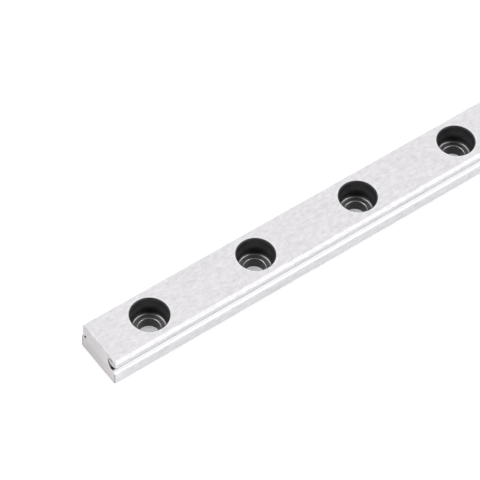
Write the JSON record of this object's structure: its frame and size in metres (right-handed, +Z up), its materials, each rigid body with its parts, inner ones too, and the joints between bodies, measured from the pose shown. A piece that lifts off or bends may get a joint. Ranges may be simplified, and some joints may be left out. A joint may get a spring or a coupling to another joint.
{
  "type": "profile linear guide rail",
  "caption": "Straight miniature guide rail of ground steel with ball raceways along both sides and counterbored screw holes down the middle.",
  "frame": {"origin": "middle of the underside, halfway along the rail", "axes": "+X along the rail, away from the end seen in the picture; +Y across it, away from the camera; +Z up, out of the top face"},
  "size_m": [0.1, 0.009, 0.0055],
  "materials": {
    "ground_steel": "fine ground, satin"
  },
  "bodies": {
    "root": {"guide_rail": "ground_steel"}
  },
  "joints": []
}
